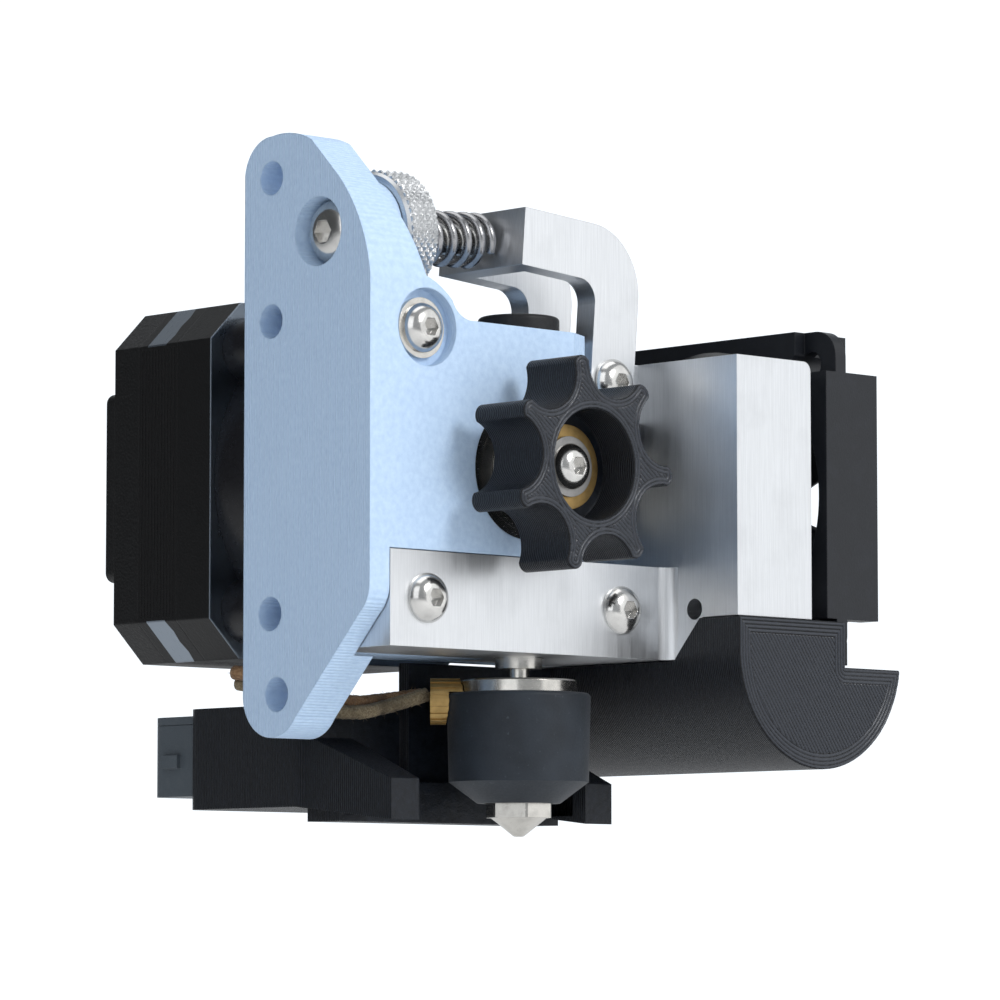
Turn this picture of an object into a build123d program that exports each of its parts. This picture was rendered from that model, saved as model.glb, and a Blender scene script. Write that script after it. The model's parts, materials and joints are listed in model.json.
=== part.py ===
from build123d import *
import os
from math import acos, cos, pi, radians, sin, sqrt, tan

# Direct-drive extruder head, in millimetres.
# Origin: middle of the two inner carriage holes, on the bracket's mounting face.
# +X points away from the carriage, -Y to the front (the hand knob), +Z up.

os.makedirs("parts", exist_ok=True)

# ---------------------------------------------------------------- driving dimensions
AXIS_X = 24.3            # drive axis, from the mounting face
FRONT_Y = -17.1          # front face of bracket and block, from the hole line

MID = 8.95               # depth of the filament plane behind the front face
FILAMENT_X = 7.4         # filament line beside the drive axis
HOB_R = 6.5              # drive gear, over its teeth

PLATE_T = 6.0            # bracket plate
PLATE_REAR = 21.8        # bracket's rear face, where the gearbox bolts on
CARRIAGE_HOLE_R = 2.0
CARRIAGE_SPACING = 33.8  # between the two inner carriage holes
HOLE_LINE = 17.1         # depth of the carriage holes
UPPER_HOLE_Z = 33.6
LOWER_HOLE = (15.9, -26.2)

BOLT = 15.5              # half the 31 mm motor bolt square
M3_R = 1.5
M3_HEAD_R = 2.85
M3_HEAD_H = 1.65
REAR_SEAT = 18.3         # seat of the screw behind the lever

BAR_LEFT = -21.15        # aluminium block: front bar
BAR_DEPTH = 12.7
BAR_TOP = -10.1
BLOCK_BOTTOM = -21.1
FOOT_LEFT = 5.5          # where the bar deepens behind the hot end
FOOT_DEPTH = 17.9
WALL_X = 23.5            # aluminium block: tall right-hand wall
WALL_RIGHT = 36.2
WALL_FRONT = -11.4
WALL_REAR = 29.0
WALL_TOP = 14.6
OVERHANG_Z = -16.2

LEVER_W = 14.4           # idler lever, over both arms
ARM_T = 3.0
PIVOT = (15.9, 11.6)
LEVER_TILT = 4.5
IDLER_DROP = 11.7        # idler axle below the pivot
IDLER_R = 6.5
LEG_HALF = 3.55
HEAD_TOP = 18.5
HEAD_UNDER = 11.65
HEAD_LEFT = -15.7

TENSION_SLOPE = 0.05
SCREW_SEAT = 2.9         # distances along the tension axis from the mounting face
SCREW_END = 23.8
NUT_START = 7.6
NUT_T = 4.8
NUT_R = 7.5
SPRING_START = 13.2
SPRING_END = 25.35
SPRING_R = 2.8
SPRING_COILS = 5.5
WIRE_R = 0.55

MODULE = 0.7             # planetary gear set, 5:1
SUN_TEETH = 12
PLANET_TEETH = 18
RING_TEETH = 48
CARRIER_R = MODULE * (SUN_TEETH + PLANET_TEETH) / 2
GEARBOX_REAR = 31.6
GEARBOX_R = 20.5

MOTOR_W = 42.3
MOTOR_CHAMFER = 4.6
CAP_END = 37.75          # motor: end of front cap, of stator, of rear cap
STATOR_END = 44.8
REAR_CAP_END = 49.4
CONNECTOR_END = 51.3
SHAFT_R = 4.0

FAN_X = 39.3             # axial fan: inlet face, thickness, centre height
FAN_T = 9.0
FAN_HALF = 20.0
FAN_Z = -1.0

TUBE_R = 14.0            # round air duct under the block
TUBE_X = 36.8
TUBE_Z = -20.0
TUBE_FRONT = -12.2
TUBE_REAR = 28.0

BLOWER_LEFT = -13.0
BLOWER_W = 30.0
BLOWER_FRONT = 22.5
BLOWER_BOTTOM = -37.0
BLOWER_H = 9.6

HEATER_TOP = -23.7
SOCK_R = 8.5
SOCK_TOP = -25.2
SOCK_BOTTOM = -38.2
NOZZLE_TIP = -42.1


# ---------------------------------------------------------------- planes and small tools
def behind(depth):
    """Plane parallel to the front face; local x, y are X, Z; extrusion comes forward."""
    return Plane(origin=(AXIS_X, FRONT_Y + depth, 0), x_dir=(1, 0, 0), z_dir=(0, -1, 0))


def side(x):
    """Plane across X; local x, y are depth behind the front face and Z."""
    return Plane(origin=(AXIS_X + x, FRONT_Y, 0), x_dir=(0, 1, 0), z_dir=(1, 0, 0))


def level(z):
    """Horizontal plane; local x, y are X from the drive axis and depth."""
    return Plane(origin=(AXIS_X, FRONT_Y, z), x_dir=(1, 0, 0), z_dir=(0, 0, 1))


tension = Plane(
    origin=(0, FRONT_Y + MID, 26.6),
    x_dir=(0, 1, 0),
    z_dir=(1, 0, TENSION_SLOPE),
)
lever_frame = Plane(
    origin=(AXIS_X + PIVOT[0], FRONT_Y + MID, PIVOT[1]),
    x_dir=(cos(radians(LEVER_TILT)), 0, -sin(radians(LEVER_TILT))),
    z_dir=(0, -1, 0),
)


def save(builder, name):
    builder.part.label = name
    export_step(builder.part, f"parts/{name}.step")


def turned(plane, degrees):
    """The same plane with its local x turned about its own normal."""
    angle = radians(degrees)
    return Plane(plane.origin, plane.x_dir * cos(angle) + plane.y_dir * sin(angle), plane.z_dir)


def disc(plane, places, radius, start, end, mode=Mode.ADD):
    """Round bars between two offsets of a plane."""
    with BuildSketch(plane.offset(start)) as outline:
        with Locations(*places):
            Circle(radius)
    extrude(outline.sketch, amount=end - start, mode=mode)


def ring(plane, outer, inner, start, end):
    """One washer-like ring between two offsets of a plane."""
    with BuildSketch(plane.offset(start)) as outline:
        Circle(outer)
        Circle(inner, mode=Mode.SUBTRACT)
    extrude(outline.sketch, amount=end - start)


def slab(plane, corner_a, corner_b, thickness, mode=Mode.ADD):
    """Box from a rectangle given by two corners on a plane."""
    middle = ((corner_a[0] + corner_b[0]) / 2, (corner_a[1] + corner_b[1]) / 2)
    with BuildSketch(plane) as outline:
        with Locations(middle):
            Rectangle(abs(corner_b[0] - corner_a[0]), abs(corner_b[1] - corner_a[1]))
    extrude(outline.sketch, amount=thickness, mode=mode)


def button_screw(plane, places, head_r, head_h, shank_r, shank_len, socket):
    """Button-head screws; the plane faces out of the seat, shanks run the other way."""
    for place in places:
        spot = Plane(plane.from_local_coords((place[0], place[1], 0)), plane.x_dir, plane.z_dir)
        profile = Plane(spot.origin, x_dir=spot.x_dir, z_dir=spot.y_dir.reverse())
        crown = 0.38 * head_r
        with BuildSketch(profile) as outline:
            with BuildLine():
                Line((0, 0), (head_r, 0))
                Line((head_r, 0), (head_r, 0.18 * head_h))
                ThreePointArc((head_r, 0.18 * head_h), (0.78 * head_r, 0.72 * head_h), (crown, head_h))
                Line((crown, head_h), (0, head_h))
                Line((0, head_h), (0, 0))
            make_face()
        revolve(outline.sketch, axis=Axis(spot.origin, spot.z_dir))
        with BuildSketch(spot.offset(head_h)) as hexagon:
            RegularPolygon(socket / 2, 6, major_radius=False)
        extrude(hexagon.sketch, amount=-0.62 * head_h, mode=Mode.SUBTRACT)
        with BuildSketch(spot) as shank:
            Circle(shank_r)
        extrude(shank.sketch, amount=-shank_len)


def involute_point(base_r, radius, half_angle):
    """Polar point where an involute flank that starts from base_r crosses a radius."""
    roll = sqrt(max((radius / base_r) ** 2 - 1, 0))
    swept = roll - acos(min(base_r / radius, 1)) if radius > base_r else 0
    angle = half_angle - swept
    return (radius * cos(angle), radius * sin(angle))


def gear_points(teeth, tip_r, root_r, slack):
    """Outline of a spur gear, with one tooth centred on local +x."""
    pitch_r = MODULE * teeth / 2
    pressure = radians(20)
    base_r = pitch_r * cos(pressure)
    half = pi / (2 * teeth) - slack / (2 * pitch_r) + tan(pressure) - pressure
    start = max(base_r, root_r)
    flank = [involute_point(base_r, start + (tip_r - start) * k / 3, half) for k in range(4)]
    foot = (root_r * cos(half), root_r * sin(half))
    upper = ([foot] if root_r < start - 0.01 else []) + flank
    tooth = [(x, -y) for x, y in upper] + upper[::-1]
    outline = []
    for k in range(teeth):
        turn = 2 * pi * k / teeth
        for x, y in tooth:
            outline.append((x * cos(turn) - y * sin(turn), x * sin(turn) + y * cos(turn)))
    return outline


def gear_face(teeth, tip_r, root_r, slack, mode=Mode.ADD):
    """Adds the gear's outline to the sketch in hand, or cuts it out."""
    with BuildLine() as outline:
        Polyline(*gear_points(teeth, tip_r, root_r, slack), close=True)
    make_face(outline.edges(), mode=mode)


corners = [(sx * BOLT, sz * BOLT) for sx in (-1, 1) for sz in (-1, 1)]

# ---------------------------------------------------------------- mount bracket
with BuildPart() as mount_bracket:
    with BuildSketch(side(-AXIS_X)):
        with BuildLine():
            Line((0, -14), (0, 21))
            ThreePointArc((0, 21), (1.9, 27.4), (6.6, 33.8))
            Line((6.6, 33.8), (10.2, 37.4))
            ThreePointArc((10.2, 37.4), (13, 38.4), (17, 38.5))
            ThreePointArc((17, 38.5), (20.4, 37.2), (PLATE_REAR, 34.3))
            Line((PLATE_REAR, 34.3), (PLATE_REAR, -26.5))
            ThreePointArc((PLATE_REAR, -26.5), (16.2, -31.1), (12.6, -28.9))
            Line((12.6, -28.9), (1.6, -17.4))
            ThreePointArc((1.6, -17.4), (0.4, -15.9), (0, -14))
        make_face()
    extrude(amount=AXIS_X + 21)
    with BuildSketch(behind(PLATE_REAR)):
        with BuildLine():
            Line((-AXIS_X, -32), (PLATE_T - AXIS_X, -32))
            Line((PLATE_T - AXIS_X, -32), (PLATE_T - AXIS_X, BLOCK_BOTTOM))
            Line((PLATE_T - AXIS_X, BLOCK_BOTTOM), (20.5, BLOCK_BOTTOM))
            Line((20.5, BLOCK_BOTTOM), (20.5, 16.8))
            Line((20.5, 16.8), (-8.8, 16.8))
            ThreePointArc((-8.8, 16.8), (-10.4, 17.4), (-11.6, 18.9))
            ThreePointArc((-11.6, 18.9), (-13.2, 20.2), (-15.6, 21.4))
            Line((-15.6, 21.4), (-17.4, 28))
            Line((-17.4, 28), (PLATE_T - AXIS_X, 31))
            Line((PLATE_T - AXIS_X, 31), (PLATE_T - AXIS_X, 40))
            Line((PLATE_T - AXIS_X, 40), (-AXIS_X, 40))
            Line((-AXIS_X, 40), (-AXIS_X, -32))
        make_face()
    extrude(amount=PLATE_REAR, mode=Mode.INTERSECT)
    disc(tension, [(0, 0)], 6.2, 1, 7.5)
    disc(tension, [(0, 0)], NUT_R + 0.4, 7.5, 16, Mode.SUBTRACT)
    # lever pocket: the right end stops short of the lever's legs and idler
    slab(behind(17.2), (11.4, 7.5), (21, 17), 17.3, Mode.SUBTRACT)
    slab(behind(17.2), (9.8, BAR_TOP), (21, 7.6), 17.3, Mode.SUBTRACT)
    # pocket for the aluminium bar and its deeper foot
    slab(behind(BAR_DEPTH + 0.1), (BAR_LEFT - 0.1, -22), (21, BAR_TOP + 0.1), 14, Mode.SUBTRACT)
    slab(behind(FOOT_DEPTH + 0.1), (FOOT_LEFT - 0.1, -22), (21, BAR_TOP + 0.1), 18, Mode.SUBTRACT)
    with BuildSketch(level(-10)):
        with BuildLine():
            Polyline((7.6, -0.1), (11.5, 1.9), (11.5, -0.1), close=True)
        make_face()
    extrude(amount=27, mode=Mode.SUBTRACT)
    disc(behind(REAR_SEAT), [(BOLT, BOLT)], 3.1, 0, 2, Mode.SUBTRACT)
    # bearing seat, drive gear cavity and the window towards the idler
    disc(behind(5.2), [(0, 0)], 8.0, 0, 6, Mode.SUBTRACT)
    disc(behind(PLATE_REAR), [(0, 0)], 7.6, 0, PLATE_REAR - 5.2, Mode.SUBTRACT)
    slab(behind(13.4), (0, -7.4), (10, 7.4), 8.2, Mode.SUBTRACT)
    # filament guide bore
    disc(level(0), [(FILAMENT_X, MID)], 2.1, 6, 18, Mode.SUBTRACT)
    # carriage holes
    carriage = [
        (HOLE_LINE, UPPER_HOLE_Z),
        (HOLE_LINE, CARRIAGE_SPACING / 2),
        (HOLE_LINE, -CARRIAGE_SPACING / 2),
        LOWER_HOLE,
    ]
    disc(side(-AXIS_X), carriage, CARRIAGE_HOLE_R, 0, PLATE_T, Mode.SUBTRACT)
    # gearbox screws, cover screw counterbore, tension screw counterbore
    disc(behind(PLATE_REAR), corners, M3_R + 0.1, 0, PLATE_REAR + 1, Mode.SUBTRACT)
    disc(behind(1.6), [(-BOLT, BOLT)], 4.5, 0, 3, Mode.SUBTRACT)
    disc(tension, [(0, 0)], 4.0, -1, 2.9, Mode.SUBTRACT)
    disc(tension, [(0, 0)], 2.0, 2.9, 9, Mode.SUBTRACT)
save(mount_bracket, "mount_bracket")

# ---------------------------------------------------------------- aluminium cooling block
with BuildPart() as cooling_block:
    slab(behind(BAR_DEPTH), (BAR_LEFT, BLOCK_BOTTOM), (WALL_X, BAR_TOP), BAR_DEPTH)
    slab(behind(FOOT_DEPTH), (FOOT_LEFT, BLOCK_BOTTOM), (WALL_X, BAR_TOP), FOOT_DEPTH)
    with BuildSketch(side(WALL_X)):
        with BuildLine():
            Polyline(
                (WALL_FRONT, OVERHANG_Z),
                (-5.7, OVERHANG_Z),
                (-1.5, BLOCK_BOTTOM),
                (WALL_REAR, BLOCK_BOTTOM),
                (WALL_REAR, WALL_TOP),
                (WALL_FRONT, WALL_TOP),
                close=True,
            )
        make_face()
    extrude(amount=WALL_RIGHT - WALL_X)
    top_corner = cooling_block.edges().filter_by(Axis.Y).group_by(Axis.X)[-1].sort_by(Axis.Z)[-1]
    fillet(top_corner, 1.2)
    # concave run-out where the bar meets the tall wall
    with BuildSketch(level(BLOCK_BOTTOM)):
        with BuildLine():
            Polyline((WALL_X - 2.4, 0), (WALL_X, 0.5), (WALL_X, -1.6))
            ThreePointArc((WALL_X, -1.6), (WALL_X - 0.75, -0.45), (WALL_X - 2.4, 0))
        make_face()
    extrude(amount=BAR_TOP - BLOCK_BOTTOM)
    # ear that carries the lever's pivot, between the two arms
    ear_front = MID - LEVER_W / 2 + ARM_T + 0.25
    ear_rear = MID + LEVER_W / 2 - ARM_T - 0.25
    slab(behind(ear_rear), (12.6, 7.6), (WALL_X, WALL_TOP), ear_rear - ear_front)
    # vertical cooling slots towards the fan
    for k in range(8):
        slot_front = -6.5 + 4.2 * k
        slab(level(-30), (28.5, slot_front), (WALL_RIGHT + 1, slot_front + 2.2), 60, Mode.SUBTRACT)
    # bolt holes, heat break bore, pivot bore, accessory thread
    bar_holes = [(-BOLT, -BOLT), (BOLT, -BOLT)]
    disc(behind(FOOT_DEPTH), bar_holes, M3_R + 0.1, -1, FOOT_DEPTH + 1, Mode.SUBTRACT)
    disc(level(0), [(FILAMENT_X, MID)], 3.0, -22, 0, Mode.SUBTRACT)
    disc(behind(MID), [PIVOT], M3_R, -8, 8, Mode.SUBTRACT)
    disc(side(WALL_X), [(-4.3, -15.2)], 1.25, -1, 8, Mode.SUBTRACT)
save(cooling_block, "cooling_block")

# ---------------------------------------------------------------- screws that hold the stack
with BuildPart() as bar_screws:
    button_screw(behind(0), [(-BOLT, -BOLT), (BOLT, -BOLT)], M3_HEAD_R, M3_HEAD_H, M3_R, 34, 2.0)
save(bar_screws, "bar_screws")

with BuildPart() as cover_screw:
    button_screw(behind(1.0), [(-BOLT, BOLT)], M3_HEAD_R, M3_HEAD_H, M3_R, 33, 2.0)
save(cover_screw, "cover_screw")

with BuildPart() as cover_washer:
    with BuildSketch(behind(1.6)):
        with Locations((-BOLT, BOLT)):
            Circle(3.5)
            Circle(M3_R + 0.1, mode=Mode.SUBTRACT)
    extrude(amount=0.6)
save(cover_washer, "cover_washer")

with BuildPart() as rear_screw:
    button_screw(behind(REAR_SEAT), [(BOLT, BOLT)], 2.75, M3_HEAD_H, M3_R, 15.5, 2.0)
save(rear_screw, "rear_screw")

# ---------------------------------------------------------------- front bearing (8 x 16 x 5)
with BuildPart() as front_bearing_outer:
    ring(behind(5.1), 8.0, 6.9, 0, 5.0)
save(front_bearing_outer, "front_bearing_outer")

with BuildPart() as front_bearing_inner:
    ring(behind(5.1), 5.1, SHAFT_R, 0, 5.0)
save(front_bearing_inner, "front_bearing_inner")

with BuildPart() as front_bearing_shield:
    ring(behind(0.45), 6.9, 5.2, 0, 0.25)
save(front_bearing_shield, "front_bearing_shield")

with BuildPart() as front_bearing_balls:
    with Locations(behind(2.6)):
        with PolarLocations(6.0, 11):
            Sphere(0.8)
save(front_bearing_balls, "front_bearing_balls")

# ---------------------------------------------------------------- drive gear and shaft
with BuildPart() as drive_gear:
    gear_front = MID - 3.2
    gear_rear = MID + 7.0
    with BuildSketch(behind(MID + 2.6)):
        Circle(HOB_R)
        Circle(SHAFT_R, mode=Mode.SUBTRACT)
        with PolarLocations(HOB_R, 36):
            Rectangle(0.7, 0.5, mode=Mode.SUBTRACT)
    extrude(amount=5.2)
    ring(behind(gear_rear), 6.2, SHAFT_R, 0, gear_rear - MID - 2.6)
    with BuildSketch(Plane(origin=(AXIS_X, FRONT_Y + MID, 0), x_dir=(1, 0, 0), z_dir=(0, 0, 1))):
        with Locations((HOB_R + 0.35, 0)):
            Circle(0.95)
    revolve(axis=Axis((AXIS_X, FRONT_Y, 0), (0, 1, 0)), mode=Mode.SUBTRACT)
    with BuildSketch(level(0).offset(4)):
        with Locations((0, gear_rear - 2.1)):
            Circle(1.25)
    extrude(amount=4, mode=Mode.SUBTRACT)
save(drive_gear, "drive_gear")

with BuildPart() as grub_screw:
    with BuildSketch(level(4.05)):
        with Locations((0, gear_rear - 2.1)):
            Circle(1.25)
            RegularPolygon(0.6, 6, mode=Mode.SUBTRACT)
    extrude(amount=1.9)
save(grub_screw, "grub_screw")

with BuildPart() as planet_carrier:
    disc(behind(25), [(0, 0)], 13.4, 0, 1.5)
    disc(behind(25), [(0, 0)], SHAFT_R, 0, 25 + 5.4)
    pin_places = [(CARRIER_R * cos(2 * pi * k / 3), CARRIER_R * sin(2 * pi * k / 3)) for k in range(3)]
    disc(behind(25), pin_places, 1.5, -1, 3, Mode.SUBTRACT)
    disc(behind(-5.4), [(0, 0)], M3_R, -9, 1, Mode.SUBTRACT)
save(planet_carrier, "planet_carrier")

with BuildPart() as planet_pins:
    disc(behind(25), pin_places, 1.5, -5.2, 1.5)
save(planet_pins, "planet_pins")

# ---------------------------------------------------------------- planetary gears
SLACK = 0.14
ADDENDUM = 0.9 * MODULE
DEDENDUM = 1.2 * MODULE
sun_r = MODULE * SUN_TEETH / 2
planet_r = MODULE * PLANET_TEETH / 2
ring_r = MODULE * RING_TEETH / 2

with BuildPart() as sun_gear:
    with BuildSketch(behind(30.2)):
        gear_face(SUN_TEETH, sun_r + ADDENDUM, sun_r - DEDENDUM, SLACK)
        Circle(2.5, mode=Mode.SUBTRACT)
    extrude(amount=4.9)
save(sun_gear, "sun_gear")

for number, (px, pz) in enumerate(pin_places, start=1):
    centre = behind(30.2).from_local_coords((px, pz, 0))
    spot = turned(Plane(centre, (1, 0, 0), (0, -1, 0)), 120 * (number - 1) + 180 / PLANET_TEETH)
    with BuildPart() as planet_gear:
        with BuildSketch(spot):
            gear_face(PLANET_TEETH, planet_r + ADDENDUM, planet_r - DEDENDUM, SLACK)
            Circle(1.55, mode=Mode.SUBTRACT)
        extrude(amount=4.9)
    save(planet_gear, f"planet_gear_{number}")

with BuildPart() as ring_gear:
    with BuildSketch(turned(behind(30.4), 180 / RING_TEETH)):
        Circle(18.6)
        gear_face(RING_TEETH, ring_r + DEDENDUM, ring_r - ADDENDUM, -SLACK, mode=Mode.SUBTRACT)
    extrude(amount=5.3)
save(ring_gear, "ring_gear")

with BuildPart() as gearbox_housing:
    with BuildSketch(behind(GEARBOX_REAR)):
        Circle(GEARBOX_R)
        with Locations(*corners):
            Circle(3.9)
    extrude(amount=GEARBOX_REAR - PLATE_REAR)
    fillet(gearbox_housing.edges().group_by(Axis.Y)[0], 0.8)
    disc(behind(GEARBOX_REAR), [(0, 0)], 18.6, 0, GEARBOX_REAR - 23.3, Mode.SUBTRACT)
    disc(behind(GEARBOX_REAR), [(0, 0)], 6.5, 0, 12, Mode.SUBTRACT)
    disc(behind(GEARBOX_REAR), corners, M3_R + 0.1, -1, 12, Mode.SUBTRACT)
save(gearbox_housing, "gearbox_housing")

with BuildPart() as output_bearing:
    ring(behind(23.2), 6.5, SHAFT_R + 0.03, 0, 1.4)
save(output_bearing, "output_bearing")


# ---------------------------------------------------------------- motor
def motor_block(front, rear):
    with BuildSketch(behind(rear)) as outline:
        Rectangle(MOTOR_W, MOTOR_W)
        chamfer(outline.vertices(), MOTOR_CHAMFER)
    extrude(outline.sketch, amount=rear - front)


with BuildPart() as motor_front_cap:
    motor_block(GEARBOX_REAR, CAP_END)
    disc(behind(CAP_END), [(0, 0)], 17.2, 0, 2.6, Mode.SUBTRACT)
    disc(behind(CAP_END), [(0, 0)], 5.5, 0, 7, Mode.SUBTRACT)
    disc(behind(CAP_END), corners, M3_R, CAP_END - 34, 8, Mode.SUBTRACT)
save(motor_front_cap, "motor_front_cap")

with BuildPart() as motor_stator:
    motor_block(CAP_END, STATOR_END)
    disc(behind(STATOR_END), [(0, 0)], 12.2, 0, STATOR_END - CAP_END, Mode.SUBTRACT)
    lamination = (STATOR_END - CAP_END) / 12
    flat = MOTOR_W - 2 * MOTOR_CHAMFER
    for k in range(1, 12):
        with BuildSketch(behind(CAP_END + k * lamination + 0.07)):
            with GridLocations(MOTOR_W, 0, 2, 1):
                Rectangle(0.5, flat - 1)
            with GridLocations(0, MOTOR_W, 1, 2):
                Rectangle(flat - 1, 0.5)
        extrude(amount=0.14, mode=Mode.SUBTRACT)
save(motor_stator, "motor_stator")

with BuildPart() as motor_coils:
    ring(behind(CAP_END), 17.0, 12.4, 0, 2.4)
    ring(behind(STATOR_END), 17.0, 12.4, -2.4, 0)
save(motor_coils, "motor_coils")

with BuildPart() as motor_rear_cap:
    motor_block(STATOR_END, REAR_CAP_END)
    disc(behind(STATOR_END), [(0, 0)], 17.2, -2.6, 1, Mode.SUBTRACT)
    disc(behind(STATOR_END), [(0, 0)], 5.5, -3.9, 1, Mode.SUBTRACT)
save(motor_rear_cap, "motor_rear_cap")

with BuildPart() as motor_end_cover:
    with BuildSketch(behind(CONNECTOR_END)):
        RectangleRounded(MOTOR_W, 22.8, 1.2)
    extrude(amount=CONNECTOR_END - REAR_CAP_END)
    fillet(motor_end_cover.edges().group_by(Axis.Y)[-1], 0.5)
save(motor_end_cover, "motor_end_cover")

with BuildPart() as motor_rotor:
    ring(behind(STATOR_END + 1), 12.0, 2.5, 0, STATOR_END - CAP_END + 2)
save(motor_rotor, "motor_rotor")

with BuildPart() as motor_shaft:
    disc(behind(48.5), [(0, 0)], 2.5, 0, 48.5 - 25.4)
save(motor_shaft, "motor_shaft")

with BuildPart() as motor_bearings:
    ring(behind(34.5), 5.5, 2.53, 0, 2.6)
    ring(behind(48.6), 5.5, 2.53, 0, 2.5)
save(motor_bearings, "motor_bearings")

# ---------------------------------------------------------------- hand knob
KNOB_FRONT = -11.3
KNOB_REAR = -3.4
KNOB_TURN = -3
with BuildPart() as hand_knob:
    with BuildSketch(behind(KNOB_REAR)):
        Circle(11.5)
        with PolarLocations(10.0, 7, start_angle=KNOB_TURN):
            SlotOverall(5.2, 2.6)
        with PolarLocations(12.5, 7, start_angle=KNOB_TURN + 180 / 7):
            Circle(4.3, mode=Mode.SUBTRACT)
    extrude(amount=KNOB_REAR - KNOB_FRONT)
    disc(behind(-6.3), [(0, 0)], 6.4, 0, 8, Mode.SUBTRACT)
    disc(behind(0), [(0, 0)], SHAFT_R, 0, 7, Mode.SUBTRACT)
save(hand_knob, "hand_knob")

with BuildPart() as knob_insert:
    ring(behind(-6.3), 4.9, M3_R + 0.1, 0, 0.6)
save(knob_insert, "knob_insert")

with BuildPart() as knob_washer:
    ring(behind(-6.9), 3.5, M3_R + 0.1, 0, 0.5)
save(knob_washer, "knob_washer")

with BuildPart() as knob_screw:
    button_screw(behind(-7.4), [(0, 0)], 2.65, 1.5, M3_R, 10.0, 2.0)
save(knob_screw, "knob_screw")

# ---------------------------------------------------------------- idler lever
with BuildPart() as idler_lever:
    with BuildSketch(lever_frame.offset(-LEVER_W / 2)):
        with BuildLine():
            Line((HEAD_LEFT, HEAD_UNDER), (HEAD_LEFT, HEAD_TOP))
            Line((HEAD_LEFT, HEAD_TOP), (LEG_HALF - 8, HEAD_TOP))
            JernArc((LEG_HALF - 8, HEAD_TOP), (1, 0), 8, -90)
            Line((LEG_HALF, HEAD_TOP - 8), (LEG_HALF, -IDLER_DROP))
            ThreePointArc(
                (LEG_HALF, -IDLER_DROP), (0, -IDLER_DROP - LEG_HALF), (-LEG_HALF, -IDLER_DROP)
            )
            Line((-LEG_HALF, -IDLER_DROP), (-LEG_HALF, HEAD_UNDER - 2.6))
            JernArc((-LEG_HALF, HEAD_UNDER - 2.6), (0, 1), 2.6, 90)
            Line((-LEG_HALF - 2.6, HEAD_UNDER), (HEAD_LEFT, HEAD_UNDER))
        make_face()
    extrude(amount=LEVER_W)
    inner = LEVER_W / 2 - ARM_T
    slab(lever_frame.offset(-inner), (HEAD_LEFT + 3.2, -20), (12, 22), 2 * inner, Mode.SUBTRACT)
    disc(lever_frame, [(0, 0)], M3_R + 0.05, -9, 9, Mode.SUBTRACT)
    disc(lever_frame, [(0, -IDLER_DROP)], 2.0, -9, 9, Mode.SUBTRACT)
save(idler_lever, "idler_lever")

with BuildPart() as pivot_screw:
    arm_face = MID - LEVER_W / 2
    button_screw(behind(arm_face - 0.05), [PIVOT], M3_HEAD_R, M3_HEAD_H, M3_R, 14.2, 2.0)
save(pivot_screw, "pivot_screw")

with BuildPart() as idler_axle:
    disc(lever_frame, [(0, -IDLER_DROP)], 2.0, -LEVER_W / 2, LEVER_W / 2)
save(idler_axle, "idler_axle")

idler_frame = Plane(lever_frame.from_local_coords((0, -IDLER_DROP, 0)), (1, 0, 0), (0, -1, 0))
with BuildPart() as idler_inner_race:
    ring(idler_frame, 3.3, 2.0, -2.9, 2.9)
save(idler_inner_race, "idler_inner_race")

with BuildPart() as idler_bearing:
    ring(idler_frame, IDLER_R, 3.35, -2.5, 2.5)
    fillet(idler_bearing.edges().group_by(SortBy.LENGTH)[-1], 0.4)
save(idler_bearing, "idler_bearing")

# ---------------------------------------------------------------- spring tension
with BuildPart() as tension_screw:
    button_screw(
        Plane(tension.offset(SCREW_SEAT).origin, tension.x_dir, tension.z_dir.reverse()),
        [(0, 0)], 3.8, 2.2, 1.95, SCREW_END - SCREW_SEAT, 2.5,
    )
save(tension_screw, "tension_screw")

with BuildPart() as thumb_nut:
    ring(tension, NUT_R, 2.0, NUT_START, NUT_START + NUT_T)
    chamfer(thumb_nut.edges().group_by(SortBy.LENGTH)[-1], 0.3)
save(thumb_nut, "thumb_nut")

with BuildPart() as spring_washer:
    ring(tension, 3.9, 2.05, NUT_START + NUT_T + 0.05, SPRING_START - 0.05)
save(spring_washer, "spring_washer")

with BuildPart() as tension_spring:
    spring_len = SPRING_END - SPRING_START - 2 * WIRE_R
    foot = tension.offset(SPRING_START + WIRE_R).origin
    with BuildLine():
        path = Helix(spring_len / SPRING_COILS, spring_len, SPRING_R, center=foot, direction=tension.z_dir)
    with BuildSketch(Plane(path @ 0, z_dir=path % 0)):
        Circle(WIRE_R)
    sweep(path=path, is_frenet=True)
save(tension_spring, "tension_spring")

# ---------------------------------------------------------------- filament guide
with BuildPart() as filament_guide:
    disc(level(0), [(FILAMENT_X, MID)], 4.85, 16.9, 19.3)
    fillet(filament_guide.edges().group_by(Axis.Z)[-1], 0.5)
    disc(level(0), [(FILAMENT_X, MID)], 2.1, 8.0, 17)
    disc(level(0), [(FILAMENT_X, MID)], 1.0, 7, 20, Mode.SUBTRACT)
save(filament_guide, "filament_guide")

# ---------------------------------------------------------------- hot end
hot = Plane(origin=(AXIS_X + FILAMENT_X, FRONT_Y + MID, 0))
with BuildPart() as heat_break:
    disc(hot, [(0, 0)], 3.0, BLOCK_BOTTOM, -11.5)
    disc(hot, [(0, 0)], 2.8, BLOCK_BOTTOM - 1.3, BLOCK_BOTTOM)
    disc(hot, [(0, 0)], 1.3, HEATER_TOP, BLOCK_BOTTOM - 1.3)
    disc(hot, [(0, 0)], 2.5, -29.0, HEATER_TOP)
    disc(hot, [(0, 0)], 1.0, -30, 0, Mode.SUBTRACT)
save(heat_break, "heat_break")

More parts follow.
